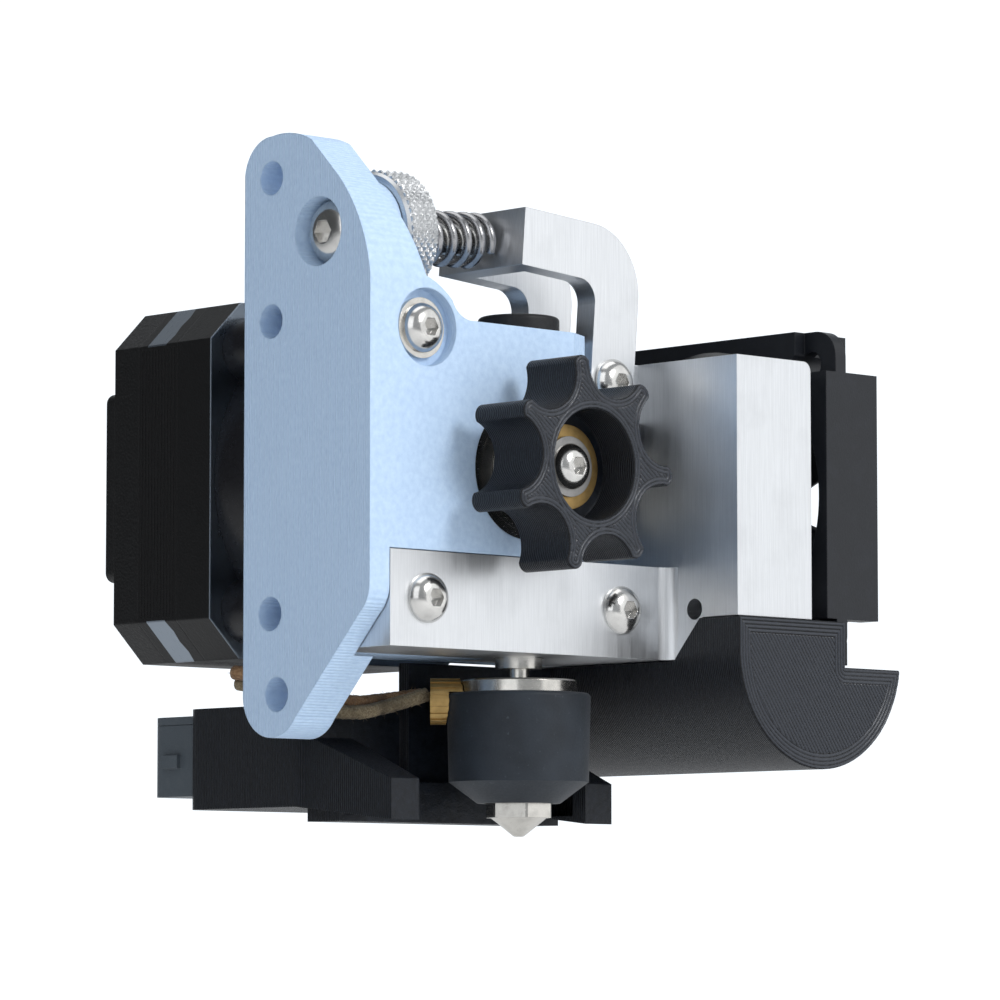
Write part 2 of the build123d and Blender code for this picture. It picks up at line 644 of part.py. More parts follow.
with BuildPart() as heater_core:
    disc(hot, [(0, 0)], 6.85, SOCK_TOP, HEATER_TOP)
    disc(hot, [(0, 0)], 6.4, -36.6, SOCK_TOP)
    chamfer(heater_core.edges().group_by(Axis.Z)[-1], 0.2)
    disc(hot, [(0, 0)], 2.5, -29.0, HEATER_TOP + 1, Mode.SUBTRACT)
    disc(hot, [(0, 0)], 3.0, -37, -29.0, Mode.SUBTRACT)
save(heater_core, "heater_core")

with BuildPart() as silicone_sock:
    with BuildSketch(Plane(origin=hot.origin, x_dir=(1, 0, 0), z_dir=(0, -1, 0))):
        with BuildLine():
            Polyline(
                (6.45, SOCK_TOP - 0.05),
                (SOCK_R, SOCK_TOP - 0.05),
                (SOCK_R - 0.25, SOCK_BOTTOM + 2.5),
                (4.9, SOCK_BOTTOM),
                (4.1, SOCK_BOTTOM),
                (4.1, -36.7),
                (6.45, -36.7),
                close=True,
            )
        make_face()
    revolve(axis=Axis(hot.origin, (0, 0, 1)))
    fillet(silicone_sock.edges().group_by(Axis.Z)[-1].sort_by(SortBy.LENGTH)[-1], 0.5)
save(silicone_sock, "silicone_sock")

with BuildPart() as nozzle:
    disc(hot, [(0, 0)], 3.0, -37, -29.1)
    with BuildSketch(hot.offset(-39.9)):
        RegularPolygon(3.5, 6, major_radius=False)
        Circle(3.95, mode=Mode.INTERSECT)
    extrude(amount=3.0)
    with BuildSketch(Plane(origin=hot.origin, x_dir=(1, 0, 0), z_dir=(0, -1, 0))):
        with BuildLine():
            Polyline(
                (0, -39.9),
                (3.3, -39.9),
                (0.7, NOZZLE_TIP + 0.1),
                (0.5, NOZZLE_TIP),
                (0, NOZZLE_TIP),
                close=True,
            )
        make_face()
    revolve(axis=Axis(hot.origin, (0, 0, 1)))
    disc(hot, [(0, 0)], 1.0, -38.5, -29, Mode.SUBTRACT)
    disc(hot, [(0, 0)], 0.2, -43, -38.4, Mode.SUBTRACT)
save(nozzle, "nozzle")

# knurled brass boss on the heater's rear left, where the leads come out
BOSS_Z = -26.2
BOSS_END = 10.4
lead_dir = Vector(-0.726, 0.687, 0)
boss_face = Plane(hot.origin + Vector(0, 0, BOSS_Z), x_dir=(0, 0, 1), z_dir=lead_dir)
with BuildPart() as sensor_boss:
    with BuildSketch(boss_face.offset(6.0)):
        Circle(2.75)
        with PolarLocations(2.85, 18):
            Rectangle(0.5, 0.42, mode=Mode.SUBTRACT)
    extrude(amount=BOSS_END - 6.0)
    disc(hot, [(0, 0)], SOCK_R + 0.1, -31, SOCK_TOP + 0.05, Mode.SUBTRACT)
    disc(hot, [(0, 0)], 6.95, SOCK_TOP, HEATER_TOP + 2, Mode.SUBTRACT)
save(sensor_boss, "sensor_boss")

# ---------------------------------------------------------------- axial fan
FAN_REAR = FAN_X + FAN_T
fan_face = Plane(origin=(AXIS_X, FRONT_Y + MID, FAN_Z), x_dir=(0, 1, 0), z_dir=(1, 0, 0))
LUG_SPAN = 14.9          # half-length of the straight sides between the corner lugs
fan_holes = [(sx * 16, sz * 16) for sx in (-1, 1) for sz in (-1, 1)]
with BuildPart() as fan_frame:
    with BuildSketch(fan_face.offset(FAN_X)):
        Rectangle(2 * FAN_HALF, 2 * LUG_SPAN)
        Rectangle(2 * LUG_SPAN, 2 * FAN_HALF)
    extrude(amount=FAN_T)
    with BuildSketch(fan_face.offset(FAN_X)):
        Circle(19.3)
    extrude(amount=FAN_T)
    with BuildSketch(fan_face.offset(FAN_X + 1.7)):
        RectangleRounded(2 * FAN_HALF, 2 * FAN_HALF, 3.2)
    extrude(amount=1.8)
    disc(fan_face, [(0, 0)], 18.7, FAN_X - 1, FAN_REAR - 1.2, Mode.SUBTRACT)
    disc(fan_face, fan_holes, 1.6, FAN_X, FAN_REAR, Mode.SUBTRACT)
    with BuildSketch(fan_face.offset(FAN_REAR - 1.2)):
        Circle(18.75)
        Circle(9.0, mode=Mode.SUBTRACT)
        with PolarLocations(14, 4, start_angle=35):
            Rectangle(11, 1.9, mode=Mode.SUBTRACT)
    extrude(amount=1.2, mode=Mode.SUBTRACT)
save(fan_frame, "fan_frame")


def blade_ring(plane, count, inner_r, outer_r, middle, chord, pitch):
    """Slanted fan blades, each lofted from a root section to a flatter tip section."""
    for k in range(count):
        hub = turned(plane.offset(middle), 360 * k / count)
        sections = []
        for radius, lean in ((inner_r, pitch), (outer_r, pitch * 0.62)):
            across = Plane(hub.from_local_coords((radius, 0, 0)), hub.y_dir, hub.x_dir)
            with BuildSketch(turned(across, lean)) as section:
                SlotOverall(chord, 0.9)
            sections.append(section.sketch)
        loft(sections)


with BuildPart() as fan_rotor:
    disc(fan_face, [(0, 0)], 9.2, FAN_X + 0.8, FAN_REAR - 1.6)
    fillet(fan_rotor.edges().group_by(Axis.X)[0], 0.8)
    blade_ring(fan_face, 7, 8.9, 17.8, FAN_X + 4.2, 8.4, 42)
save(fan_rotor, "fan_rotor")

# ---------------------------------------------------------------- round air duct
WALL = 1.6
with BuildPart() as air_duct:
    with BuildSketch(behind(TUBE_REAR)):
        with Locations((TUBE_X, TUBE_Z)):
            Circle(TUBE_R)
        with Locations((TUBE_X, TUBE_Z + 5)):
            Rectangle(2 * TUBE_R, 10)
    extrude(amount=TUBE_REAR - TUBE_FRONT)
    # hollow, closed at the front
    with BuildSketch(behind(TUBE_REAR)):
        with Locations((TUBE_X, TUBE_Z)):
            Circle(TUBE_R - WALL)
        with Locations((TUBE_X, BLOCK_BOTTOM + 10 - WALL)):
            Rectangle(3 * TUBE_R, 20, mode=Mode.SUBTRACT)
    extrude(amount=TUBE_REAR - TUBE_FRONT - 2.0, mode=Mode.SUBTRACT)
    # room for the block above and for the fan's lower edge
    with BuildSketch(side(0)):
        with BuildLine():
            Polyline(
                (-20, OVERHANG_Z - 0.15),
                (-5.8, OVERHANG_Z - 0.15),
                (-1.5, BLOCK_BOTTOM - 0.15),
                (40, BLOCK_BOTTOM - 0.15),
                (40, 0),
                (-20, 0),
                close=True,
            )
        make_face()
    extrude(amount=60, mode=Mode.SUBTRACT)
    slab(behind(40), (41.0, -21.8), (60, 0), 80, Mode.SUBTRACT)
    slab(behind(40), (38.9, -21.8), (60, 0), 46.5, Mode.SUBTRACT)
save(air_duct, "air_duct")

# ---------------------------------------------------------------- part-cooling blower
BLOWER_TOP = BLOWER_BOTTOM + BLOWER_H
blower_mid = (BLOWER_LEFT + BLOWER_W / 2, BLOWER_FRONT + BLOWER_W / 2)
blower_plane = Plane(origin=(AXIS_X + blower_mid[0], FRONT_Y + blower_mid[1], 0))
with BuildPart() as blower_housing:
    with BuildSketch(blower_plane.offset(BLOWER_BOTTOM)):
        RectangleRounded(BLOWER_W, BLOWER_W, 2.5)
    extrude(amount=BLOWER_H - 1.0)
    disc(blower_plane, [(0, 0)], 13.4, BLOWER_BOTTOM + 1.0, BLOWER_TOP, Mode.SUBTRACT)
    with BuildSketch(blower_plane.offset(BLOWER_BOTTOM + 1.0)):
        with Locations((4.5, -BLOWER_W / 2 + 4)):
            Rectangle(17, 14)
    extrude(amount=BLOWER_H, mode=Mode.SUBTRACT)
    with BuildSketch(blower_plane.offset(BLOWER_BOTTOM + 3.4)):
        with Locations((-BLOWER_W / 2, 10.5), (BLOWER_W / 2, 10.5)):
            Rectangle(1.2, 3.0)
    extrude(amount=1.6)
save(blower_housing, "blower_housing")

with BuildPart() as blower_cover:
    with BuildSketch(blower_plane.offset(BLOWER_TOP - 0.95)):
        RectangleRounded(BLOWER_W, BLOWER_W, 2.5)
        Circle(8.5, mode=Mode.SUBTRACT)
    extrude(amount=0.95)
save(blower_cover, "blower_cover")

with BuildPart() as blower_impeller:
    disc(blower_plane, [(0, 0)], 11.0, BLOWER_BOTTOM + 1.5, BLOWER_BOTTOM + 2.5)
    disc(blower_plane, [(0, 0)], 6.0, BLOWER_BOTTOM + 1.5, BLOWER_BOTTOM + 7.0)
    with BuildSketch(blower_plane.offset(BLOWER_BOTTOM + 1.5)):
        with PolarLocations(9.9, 19):
            with Locations(Rotation(0, 0, 40)):
                Rectangle(3.0, 0.5)
    extrude(amount=5.6)
save(blower_impeller, "blower_impeller")

# ---------------------------------------------------------------- nozzle duct
DUCT_TOP = BLOWER_TOP + 0.7
DUCT_BOTTOM = BLOWER_BOTTOM - 1.7
SHELL_LEFT = BLOWER_LEFT - 1.9
SHELL_RIGHT = BLOWER_LEFT + BLOWER_W + 1.9
SHELL_REAR = 43.5
LIP_Z = -40.4
ARM_TOP_Z = -35.6
with BuildPart() as nozzle_duct:
    shell_front = (SHELL_LEFT, BLOWER_FRONT - 1.4)
    slab(level(DUCT_BOTTOM), shell_front, (SHELL_RIGHT, SHELL_REAR), DUCT_TOP - DUCT_BOTTOM)
    fillet(nozzle_duct.edges().filter_by(Axis.Z), 2.4)
    # two arms that end beside the nozzle, and the bar that joins them
    for root_x, tip_x in ((-11.2, -10.6), (20.6, 20.6)):
        with BuildSketch(behind(BLOWER_FRONT + 1)) as arm_root:
            with Locations((root_x, (DUCT_BOTTOM + DUCT_TOP - 3) / 2)):
                Rectangle(7.0, DUCT_TOP - 3 - DUCT_BOTTOM)
        with BuildSketch(behind(9.0)) as arm_tip:
            with Locations((tip_x, (LIP_Z + ARM_TOP_Z) / 2)):
                Rectangle(4.4, ARM_TOP_Z - LIP_Z)
        loft([arm_root.sketch, arm_tip.sketch])
    slab(level(LIP_Z), (-12.4, 18.4), (23.0, 24.0), ARM_TOP_Z - LIP_Z)
    # upright wall behind the hot end, up to the round duct
    slab(level(LIP_Z), (-0.5, 19.6), (22.9, 21.2), BLOCK_BOTTOM - 0.4 - LIP_Z)
    slab(level(DUCT_TOP - 0.5), (2.0, 19.6), (14.0, 24.0), BLOCK_BOTTOM - 0.4 - DUCT_TOP + 0.5)
    # blower pocket and air channels
    slab(
        level(BLOWER_BOTTOM - 0.1),
        (BLOWER_LEFT - 0.1, BLOWER_FRONT - 0.1),
        (BLOWER_LEFT + BLOWER_W + 0.1, 50),
        BLOWER_H + 0.2,
        Mode.SUBTRACT,
    )
    slab(level(BLOWER_TOP - 1), (BLOWER_LEFT + 3, BLOWER_FRONT + 3), (SHELL_RIGHT - 5, 50), 8, Mode.SUBTRACT)
    slab(level(LIP_Z + 1.0), (-11.4, 19.4), (22.0, BLOWER_FRONT + 0.5), ARM_TOP_Z - LIP_Z - 2.0, Mode.SUBTRACT)
    for tip_x in (-10.6, 20.6):
        slab(level(LIP_Z + 1.0), (tip_x - 1.2, 10.0), (tip_x + 1.2, 20.0), 2.6, Mode.SUBTRACT)
        inward = 1 if tip_x < 0 else -1
        slab(level(LIP_Z + 1.0), (tip_x, 11.0), (tip_x + 3 * inward, 15.0), 2.6, Mode.SUBTRACT)
save(nozzle_duct, "nozzle_duct")

# ---------------------------------------------------------------- heater leads
LEAD_R = 1.3
lead_route = [
    (AXIS_X - 0.7, FRONT_Y + 16.7, -25.4),
    (AXIS_X - 5.0, FRONT_Y + 18.0, -26.5),
    (AXIS_X - 12.4, FRONT_Y + 17.9, -27.5),
    (AXIS_X - 15.8, FRONT_Y + 22.8, -24.8),
    (AXIS_X - 16.5, FRONT_Y + 32.0, -23.4),
]


def arc_radii(points):
    """Arc radius at each inner point: 0.45 of the shorter run over tan(half the turn)."""
    radii = []
    for before, here, after in zip(points, points[1:], points[2:]):
        run_in = Vector(*here) - Vector(*before)
        run_out = Vector(*after) - Vector(*here)
        turn = radians(run_in.get_angle(run_out))
        radii.append(0.45 * min(run_in.length, run_out.length) / tan(turn / 2))
    return radii


lead_radii = arc_radii(lead_route)
with BuildPart() as heater_leads:
    with BuildLine() as lead_path:
        FilletPolyline(*lead_route, radius=lead_radii)
    with BuildSketch(Plane(lead_path.line @ 0, z_dir=lead_path.line % 0)):
        Circle(LEAD_R)
    sweep(path=lead_path.line)
save(heater_leads, "heater_leads")
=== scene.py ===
import json
import math
import random

import bpy
import numpy as np
from mathutils import Matrix, Vector


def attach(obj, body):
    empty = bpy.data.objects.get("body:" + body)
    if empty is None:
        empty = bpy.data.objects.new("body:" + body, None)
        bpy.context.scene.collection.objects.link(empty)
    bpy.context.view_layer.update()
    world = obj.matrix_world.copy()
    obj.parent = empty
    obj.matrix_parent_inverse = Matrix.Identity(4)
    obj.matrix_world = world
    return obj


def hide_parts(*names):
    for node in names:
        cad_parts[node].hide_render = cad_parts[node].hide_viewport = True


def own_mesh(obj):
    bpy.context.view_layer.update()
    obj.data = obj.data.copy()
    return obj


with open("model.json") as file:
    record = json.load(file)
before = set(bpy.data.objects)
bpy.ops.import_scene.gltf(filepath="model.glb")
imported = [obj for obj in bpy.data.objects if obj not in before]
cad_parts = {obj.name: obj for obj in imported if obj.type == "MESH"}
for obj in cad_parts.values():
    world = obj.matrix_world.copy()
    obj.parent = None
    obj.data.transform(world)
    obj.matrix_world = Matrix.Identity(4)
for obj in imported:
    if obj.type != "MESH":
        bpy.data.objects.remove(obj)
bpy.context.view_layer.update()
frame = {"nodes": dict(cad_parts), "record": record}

MM = 0.001
AXIS_X = 24.3        # drive axis, from the mounting face
FRONT_Y = -17.1      # front face of bracket and block
TRACK_RELIEF = 0.24  # height of one printed track
MOTOR_HALF = 21.15   # half the width of the motor's square
MOTOR_CHAMFER = 4.6
MOTOR_FRONT = FRONT_Y + 31.6
BARE_START, BARE_END = FRONT_Y + 39.5, FRONT_Y + 43.2    # bare stripe on the motor's chamfers
scene = bpy.context.scene
scene.view_settings.view_transform = "Standard"


# ---------------------------------------------------------------- camera
camera_data = bpy.data.cameras.new("camera")
camera_data.sensor_width = 36
camera_data.lens = 180.36
camera_data.clip_start = 0.01
camera_data.clip_end = 20
camera = bpy.data.objects.new("camera", camera_data)
scene.collection.objects.link(camera)
right = Vector((0.72621481, -0.68746785, 0.0))
up = Vector((-0.06051439, -0.0639251, 0.99611826))
forward = Vector((0.68479928, 0.72339584, 0.08802505))
turn = Matrix((right, up, -forward)).transposed().to_4x4()
camera.matrix_world = Matrix.Translation(Vector((-375.5, -435.1, -54.5)) * MM) @ turn
scene.camera = camera


# ---------------------------------------------------------------- node helpers
class Graph:
    """One procedural material. Positions are in millimetres in the object's own frame."""

    def __init__(self, name):
        self.material = bpy.data.materials.new(name)
        self.material.use_nodes = True
        self.tree = self.material.node_tree
        self.shader = self.tree.nodes["Principled BSDF"]
        self.place = self.node("ShaderNodeTexCoord").outputs["Object"]

    def node(self, kind, inputs=None, **settings):
        made = self.tree.nodes.new(kind)
        for key, value in settings.items():
            setattr(made, key, value)
        for key, value in (inputs or {}).items():
            self.feed(made.inputs[key], value)
        return made

    def feed(self, socket, value):
        if isinstance(value, bpy.types.NodeSocket):
            self.tree.links.new(value, socket)
        else:
            socket.default_value = value

    def set(self, **values):
        for key, value in values.items():
            self.feed(self.shader.inputs[key.replace("_", " ")], value)

    def stretched(self, per_mm):
        scale = tuple(s / MM for s in per_mm)
        return self.node("ShaderNodeMapping", {"Vector": self.place, "Scale": scale}).outputs[0]

    def noise(self, per_mm, detail=3.0, roughness=0.55):
        inputs = {"Vector": self.stretched(per_mm), "Scale": 1.0, "Detail": detail, "Roughness": roughness}
        return self.node("ShaderNodeTexNoise", inputs).outputs["Fac"]

    def cells(self, per_mm):
        inputs = {"Vector": self.stretched(per_mm), "Scale": 1.0}
        return self.node("ShaderNodeTexVoronoi", inputs).outputs["Distance"]

    def math(self, operation, first, second=0.0):
        made = self.node("ShaderNodeMath", {0: first, 1: second}, operation=operation)
        return made.outputs[0]

    def span(self, value, low, high, to_low, to_high):
        inputs = {"Value": value, "From Min": low, "From Max": high, "To Min": to_low, "To Max": to_high}
        return self.node("ShaderNodeMapRange", inputs).outputs["Result"]

    def blend(self, factor, first, second):
        made = self.node("ShaderNodeMix", data_type="RGBA")
        self.feed(made.inputs["Factor"], factor)
        self.feed(made.inputs[6], (*first, 1.0) if isinstance(first, tuple) else first)
        self.feed(made.inputs[7], (*second, 1.0) if isinstance(second, tuple) else second)
        return made.outputs[2]

    def along(self, axis):
        parts = self.node("ShaderNodeSeparateXYZ", {"Vector": self.place})
        return self.math("MULTIPLY", parts.outputs[axis], 1 / MM)

    def bump(self, height, depth_mm, strength=1.0, under=None):
        inputs = {"Height": height, "Distance": depth_mm * MM, "Strength": strength}
        if under is not None:
            inputs["Normal"] = under
        return self.node("ShaderNodeBump", inputs).outputs["Normal"]

    def rounded(self, radius_mm):
        return self.node("ShaderNodeBevel", {"Radius": radius_mm * MM}, samples=4).outputs["Normal"]


def shade(value, gain):
    return tuple(min(channel * gain, 1.0) for channel in value)


def printed(name, colour, light, roughness, pitch=0.3, depth=0.03, specular=0.5):
    """Printed plastic whose layers are stacked from front to back."""
    g = Graph(name)
    wander = g.noise((0.03, 0.5, 0.03), 2.0)
    layer = g.math("SINE", g.math("ADD", g.math("MULTIPLY", g.along(1), 2 * math.pi / pitch), wander))
    streaks = g.noise((1.3, 4.2, 1.3), 3.0)
    grain = g.noise((6.5, 6.5, 6.5), 3.0)
    patches = g.noise((0.09, 0.12, 0.09), 3.0)
    texture = g.math("ADD", streaks, g.math("MULTIPLY", grain, 0.5))
    height = g.math("ADD", g.math("MULTIPLY", layer, 0.6), texture)
    mottle = g.math("ADD", streaks, g.math("MULTIPLY", layer, 0.06))
    tone = g.blend(g.span(mottle, 0.3, 0.72, 0.0, 1.0), colour, light)
    tone = g.blend(g.span(patches, 0.4, 0.75, 0.0, 0.2), tone, light)
    g.set(Base_Color=tone, Roughness=g.span(grain, 0.3, 0.7, roughness - 0.06, roughness + 0.1))
    g.set(Normal=g.bump(height, depth, 0.8, g.rounded(0.25)), Specular_IOR_Level=specular)
    return g.material


def brushed(name, colour, strokes, roughness, depth=0.006, edge=0.12):
    """Machined metal with fine strokes; strokes is the noise scale along each axis, per mm."""
    g = Graph(name)
    fine = g.noise(strokes, 4.0, 0.7)
    broad = g.noise(tuple(s * 0.16 for s in strokes), 2.0)
    marks = g.noise((0.22, 0.22, 0.22), 3.0)
    tone = g.blend(g.span(fine, 0.3, 0.7, 0.0, 1.0), shade(colour, 0.9), shade(colour, 1.08))
    tone = g.blend(g.span(marks, 0.52, 0.8, 0.0, 0.35), tone, shade(colour, 0.78))
    stroke_rough = g.span(fine, 0.25, 0.75, roughness - 0.07, roughness + 0.08)
    rough = g.math("ADD", stroke_rough, g.span(broad, 0.3, 0.7, -0.03, 0.04))
    g.set(Base_Color=tone, Metallic=1.0, Roughness=rough)
    g.set(Normal=g.bump(fine, depth, 0.7, g.rounded(edge)))
    return g.material


def turned_metal(name, colour, roughness, dirt=0.2, metallic=1.0):
    """Small polished or turned metal parts, with faint scratches and smudges."""
    g = Graph(name)
    scratches = g.noise((1.2, 9.0, 7.0), 4.0, 0.7)
    smudges = g.noise((0.7, 0.7, 0.7), 3.0)
    tone = g.blend(g.span(smudges, 0.45, 0.75, 0.0, dirt), colour, shade(colour, 0.55))
    g.set(Base_Color=tone, Metallic=metallic)
    g.set(Roughness=g.span(scratches, 0.3, 0.7, roughness - 0.04, roughness + 0.09))
    g.set(Normal=g.bump(scratches, 0.003, 0.5, g.rounded(0.06)))
    return g.material


def moulded(name, colour, light, roughness, grain_per_mm, depth, edge=0.2, specular=0.35):
    """Moulded or enamelled surface with a fine grain."""
    g = Graph(name)
    grain = g.noise((grain_per_mm,) * 3, 3.0, 0.6)
    pits = g.cells((grain_per_mm * 0.8,) * 3)
    dust = g.noise((0.35, 0.35, 0.35), 4.0, 0.7)
    tone = g.blend(g.span(dust, 0.48, 0.78, 0.0, 0.6), colour, light)
    g.set(Base_Color=tone, Roughness=g.span(grain, 0.3, 0.7, roughness - 0.05, roughness + 0.08))
    g.set(Normal=g.bump(g.math("ADD", grain, g.math("MULTIPLY", pits, 0.6)), depth, 0.8, g.rounded(edge)))
    g.set(Specular_IOR_Level=specular)
    return g.material


def silicone(name):
    g = Graph(name)
    grain = g.noise((4.0, 4.0, 4.0), 3.0)
    lint = g.span(g.noise((1.1, 1.1, 1.1), 5.0, 0.8), 0.62, 0.72, 0.0, 0.7)
    haze = g.noise((0.16, 0.16, 0.16), 2.0)
    tone = g.blend(g.span(haze, 0.35, 0.7, 0.0, 1.0), (0.008, 0.012, 0.018), (0.017, 0.024, 0.034))
    g.set(Base_Color=g.blend(lint, tone, (0.07, 0.085, 0.105)), Sheen_Weight=0.06, Sheen_Roughness=0.5)
    g.set(Specular_IOR_Level=0.35, Roughness=g.span(grain, 0.3, 0.7, 0.52, 0.66))
    g.set(Normal=g.bump(grain, 0.02, 0.6))
    return g.material


def braid(name, colour, light, dark):
    """Glass-fibre sleeve: crossing strands, worn and scorched in places."""
    g = Graph(name)
    weave = g.cells((2.6, 2.6, 2.6))
    strands = g.noise((5.0, 1.6, 5.0), 4.0, 0.7)
    scorch = g.noise((0.25, 0.25, 0.25), 3.0)
    tone = g.blend(g.span(strands, 0.35, 0.65, 0.0, 1.0), colour, light)
    tone = g.blend(g.span(scorch, 0.42, 0.66, 0.0, 0.8), tone, dark)
    g.set(Base_Color=tone, Roughness=0.9, Sheen_Weight=0.08, Sheen_Roughness=0.4)
    g.set(Normal=g.bump(g.math("ADD", weave, strands), 0.12, 0.9))
    return g.material


def masked(name, base, bare, mask_of):
    """One material with bare metal where mask_of(graph) is 1, and the base colour elsewhere."""
    g = Graph(name)
    mask = mask_of(g)
    grain = g.noise((3.4, 3.4, 3.4), 3.0, 0.6)
    strokes = g.noise((0.3, 8.0, 0.3), 3.0)
    g.set(Base_Color=g.blend(mask, base, bare), Metallic=mask, Specular_IOR_Level=0.3)
    base_rough = g.span(mask, 0.0, 1.0, 0.46, 0.3)
    g.set(Roughness=g.math("ADD", base_rough, g.span(strokes, 0.3, 0.7, -0.04, 0.05)))
    height = g.math("MULTIPLY", grain, g.span(mask, 0.0, 1.0, 1.0, 0.08))
    g.set(Normal=g.bump(height, 0.05, 0.8, g.rounded(0.3)))
    return g.material


def tracked(name, front_y):
    """Printed face seen end on: slate track tops, with painted shade making the grooves between them near
    black.
    """
    g = Graph(name)
    grain = g.noise((6.5, 6.5, 6.5), 3.0)
    # painted shade: mask rises with depth below the front face, marking the grooves for darkening
    groove_shade_mask = g.span(g.along(1), front_y - 0.21, front_y - 0.09, 0.0, 1.0)
    top = g.blend(g.span(grain, 0.3, 0.7, 0.0, 1.0), (0.010, 0.013, 0.020), (0.026, 0.032, 0.045))
    # painted groove shade: near-black colour laid into the grooves
    g.set(Base_Color=g.blend(groove_shade_mask, top, (0.001, 0.0012, 0.0018)))
    g.set(Roughness=g.math("ADD", g.span(grain, 0.3, 0.7, 0.26, 0.4), g.math("MULTIPLY", groove_shade_mask, 0.45)))
    g.set(Normal=g.bump(grain, 0.03, 0.7))
    return g.material


def between(g, value, low, high):
    return g.math("MULTIPLY", g.math("GREATER_THAN", value, low), g.math("LESS_THAN", value, high))


def bare_chamfers(g):
    """1 on a slightly tapered stripe across each of the motor's four chamfers."""
    x = g.math("ABSOLUTE", g.math("SUBTRACT", g.along(0), AXIS_X))
    z = g.math("ABSOLUTE", g.along(2))
    edge = 2 * MOTOR_HALF - MOTOR_CHAMFER - 0.15
    on_chamfer = g.math("GREATER_THAN", g.math("ADD", x, z), edge)
    along_edge = g.math("ABSOLUTE", g.math("SUBTRACT", x, z))
    off_middle = g.math("ABSOLUTE", g.math("SUBTRACT", along_edge, MOTOR_CHAMFER / 2))
    low = g.math("ADD", g.math("MULTIPLY", off_middle, 0.12), BARE_START)
    return g.math("MULTIPLY", on_chamfer, between(g, g.along(1), low, BARE_END))


def bare_front(g):
    """1 on the motor's machined front face."""
    return g.math("LESS_THAN", g.along(1), MOTOR_FRONT + 0.08)


VERTICAL = (9.0, 9.0, 0.16)
materials = {
    "print_blue": printed("print_blue", (0.43, 0.585, 0.80), (0.53, 0.685, 0.885), 0.6, depth=0.05),
    "print_black": printed(
        "print_black", (0.002, 0.003, 0.005), (0.008, 0.011, 0.017), 0.36, depth=0.10, specular=0.28
    ),
    "aluminium": brushed("aluminium", (0.70, 0.715, 0.735), VERTICAL, 0.36, depth=0.012),
    "knurled_aluminium": turned_metal("knurled_aluminium", (0.56, 0.57, 0.58), 0.28),
    "steel_screw": turned_metal("steel_screw", (0.66, 0.65, 0.63), 0.16, 0.4),
    "steel": turned_metal("steel", (0.62, 0.60, 0.56), 0.2, 0.4),
    "balls": turned_metal("balls", (0.8, 0.8, 0.8), 0.08),
    "spring_steel": turned_metal("spring_steel", (0.36, 0.36, 0.37), 0.22, 0.5),
    "gear_steel": turned_metal("gear_steel", (0.42, 0.41, 0.40), 0.3, 0.5),
    "brass": turned_metal("brass", (0.42, 0.28, 0.11), 0.34, 0.6),
    "copper": turned_metal("copper", (0.50, 0.19, 0.07), 0.35, 0.4),
    "motor_black": moulded(
        "motor_black", (0.002, 0.002, 0.0025), (0.005, 0.0055, 0.0065), 0.46, 3.4, 0.05, 0.35
    ),
    "motor_silver": brushed("motor_silver", (0.46, 0.48, 0.52), (0.3, 9.0, 0.3), 0.34),
    "gearbox_black": moulded(
        "gearbox_black", (0.006, 0.006, 0.008), (0.012, 0.012, 0.015), 0.3, 1.6, 0.008, 0.3
    ),
    "fan_black": moulded("fan_black", (0.006, 0.0075, 0.011), (0.012, 0.014, 0.02), 0.4, 4.5, 0.012),
    "blower_grey": moulded("blower_grey", (0.07, 0.085, 0.10), (0.10, 0.115, 0.13), 0.45, 4.5, 0.015),
    "collar_black": moulded("collar_black", (0.007, 0.007, 0.008), (0.018, 0.018, 0.02), 0.5, 2.2, 0.02),
    "silicone": silicone("silicone"),
    "sleeve": braid("sleeve", (0.15, 0.075, 0.03), (0.36, 0.215, 0.11), (0.03, 0.017, 0.01)),
    "sleeve_grey": braid("sleeve_grey", (0.12, 0.09, 0.05), (0.30, 0.24, 0.15), (0.035, 0.025, 0.015)),
}
BLACK_ENAMEL = (0.002, 0.002, 0.0025)
BARE_STEEL = (0.26, 0.30, 0.35)
own_look = {
    "motor_stator": masked("motor_stator_look", BLACK_ENAMEL, BARE_STEEL, bare_chamfers),
    "knob_washer": turned_metal("knob_washer_look", (0.30, 0.295, 0.29), 0.34, 0.6),
    "motor_front_cap": masked("motor_front_look", BLACK_ENAMEL, BARE_STEEL, bare_front),
}
for part in frame["record"]["subparts"]:
    node = frame["nodes"][part["node"]]
    node.data.materials.clear()
    node.data.materials.append(own_look.get(part["node"], materials[part["material_slot"]]))


# ---------------------------------------------------------------- mesh helpers
def piece(name, points, faces, material, body, replaces=None, smooth=True):
    mesh = bpy.data.meshes.new(name)
    mesh.from_pydata([Vector(p) * MM for p in points], [], faces)
    mesh.polygons.foreach_set("use_smooth", [smooth] * len(faces))
    mesh.update()
    mesh.materials.append(materials[material])
    made = bpy.data.objects.new(name, mesh)
    scene.collection.objects.link(made)
    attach(made, body)
    if replaces:
        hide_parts(replaces)
    return made


def grid_faces(rows, columns, wrap_rows=False, wrap_columns=False):
    faces = []
    for i in range(rows if wrap_rows else rows - 1):
        for j in range(columns if wrap_columns else columns - 1):
            a, b = i * columns, ((i + 1) % rows) * columns
            k = (j + 1) % columns
            faces.append((a + j, a + k, b + k, b + j))
    return faces


def tube(path, radius, sides=12):
    """Round tube along a list of points, with closed ends; radius may be a function of the index."""
    path = [Vector(p) for p in path]
    points = []
    side = Vector((0, 0, 1))
    for i, here in enumerate(path):
        run = (path[min(i + 1, len(path) - 1)] - path[max(i - 1, 0)]).normalized()
        side = (side - run * side.dot(run)).normalized()
        other = run.cross(side)
        r = radius(i) if callable(radius) else radius
        for k in range(sides):
            angle = 2 * math.pi * k / sides
            points.append(here + (side * math.cos(angle) + other * math.sin(angle)) * r)
    faces = grid_faces(len(path), sides, wrap_columns=True)
    faces.append(tuple(range(sides))[::-1])
    faces.append(tuple(range(len(points) - sides, len(points))))
    return points, faces


